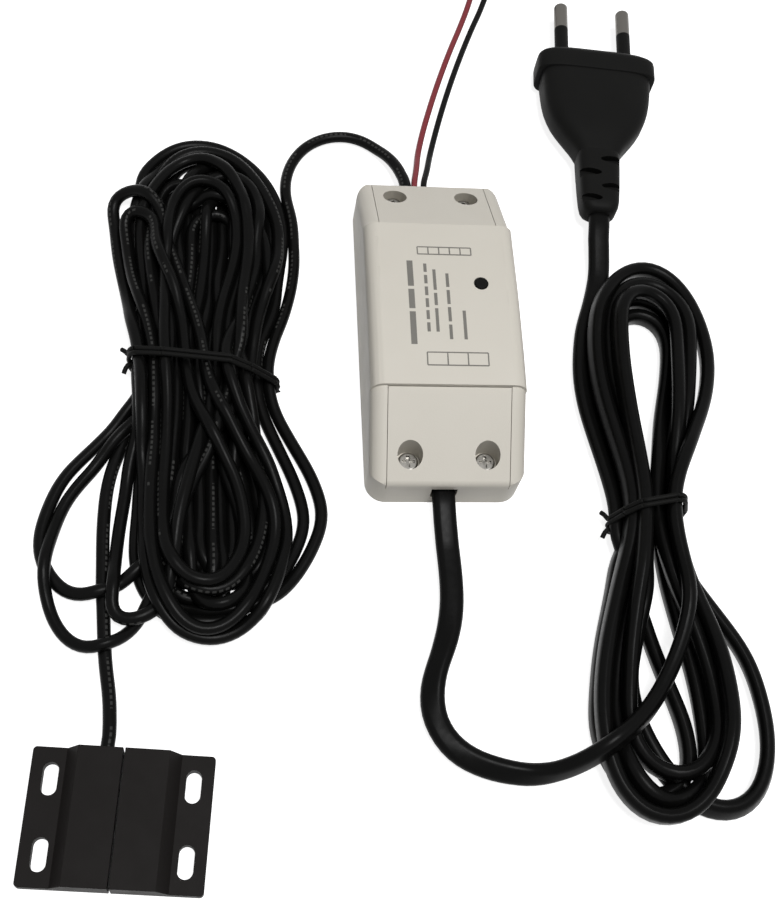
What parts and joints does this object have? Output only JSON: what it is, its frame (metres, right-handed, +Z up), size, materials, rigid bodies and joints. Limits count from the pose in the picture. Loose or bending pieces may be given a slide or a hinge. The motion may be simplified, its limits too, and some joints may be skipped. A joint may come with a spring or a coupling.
{
  "type": "garage door controller",
  "caption": "Wired relay box for a garage door opener, with a corded magnetic door contact, a corded two-pin mains plug and a red and black output pair.",
  "frame": {"origin": "centre of the relay box's flat base, which lies on the table", "axes": "+Z up out of the box's lid, +Y towards the end with the output wires and along the plug's pins, +X to the right from the door contact towards the plug; the box itself is turned a few degrees about +Z"},
  "size_m": [0.1595, 0.2871, 0.0244],
  "materials": {
    "ivory_case": "fine-textured moulded, satin",
    "bright_steel": "zinc plated",
    "board_green": "solder resist",
    "relay_blue": "moulded",
    "winding_yellow": "taped winding",
    "sleeve_dark": "shrink sleeve",
    "resistor_green": "coated",
    "shield_metal": "tinned shield on a card",
    "black_plastic": "moulded",
    "lens_clear": "clear",
    "terminal_green": "moulded",
    "core_brown": "insulation",
    "core_blue": "insulation",
    "core_white": "insulation",
    "black_cord": "smooth jacket, satin",
    "pin_nickel": "nickel plated",
    "contact_black": "moulded, fine texture",
    "reed_glass": "clear",
    "potting_black": "cast resin",
    "magnet_grey": "sintered",
    "wire_red": "smooth insulation",
    "wire_black": "smooth insulation",
    "bare_copper": "tinned strands"
  },
  "bodies": {
    "controller": {"base_tray": "ivory_case", "top_shell": "ivory_case", "input_cover": "ivory_case", "output_cover": "ivory_case", "cover_screws": "bright_steel", "circuit_board": "board_green", "relay": "relay_blue", "transformer": "winding_yellow", "bulk_capacitor": "sleeve_dark", "fuse": "resistor_green", "varistor": "relay_blue", "radio_module": "shield_metal", "tact_switch": "black_plastic", "status_led": "lens_clear", "input_terminal": "terminal_green", "output_terminal": "terminal_green", "terminal_screws": "bright_steel", "live_core": "core_brown", "neutral_core": "core_blue", "sensor_cores": "core_white", "mains_lead": "black_cord", "mains_hank": "black_cord", "mains_tail": "black_cord", "mains_tie": "black_plastic", "plug_body": "black_plastic", "plug_relief": "black_plastic", "plug_pins": "pin_nickel", "pin_sleeves": "black_plastic", "switch_housing": "contact_black", "reed_switch": "reed_glass", "reed_potting": "potting_black", "sensor_lead": "black_cord", "sensor_hank": "black_cord", "sensor_tail": "black_cord", "sensor_tie": "black_plastic", "red_wire": "wire_red", "red_coil": "wire_red", "black_wire": "wire_black", "black_coil": "wire_black", "wire_ties": "black_plastic", "stripped_ends": "bare_copper"},
    "button": {"button_stem": "black_plastic"},
    "magnet": {"magnet_housing": "contact_black", "bar_magnet": "magnet_grey", "magnet_potting": "potting_black"}
  },
  "joints": [
    {"name": "button_press", "type": "slide", "parent": "controller", "child": "button", "axis": [0, 0, -1], "range_m": [0, 0.0005], "stiffness_N_per_m": 800},
    {"name": "magnet_part", "type": "slide", "parent": "controller", "child": "magnet", "axis": [1, 0, 0], "range_m": [0, 0.04]}
  ]
}
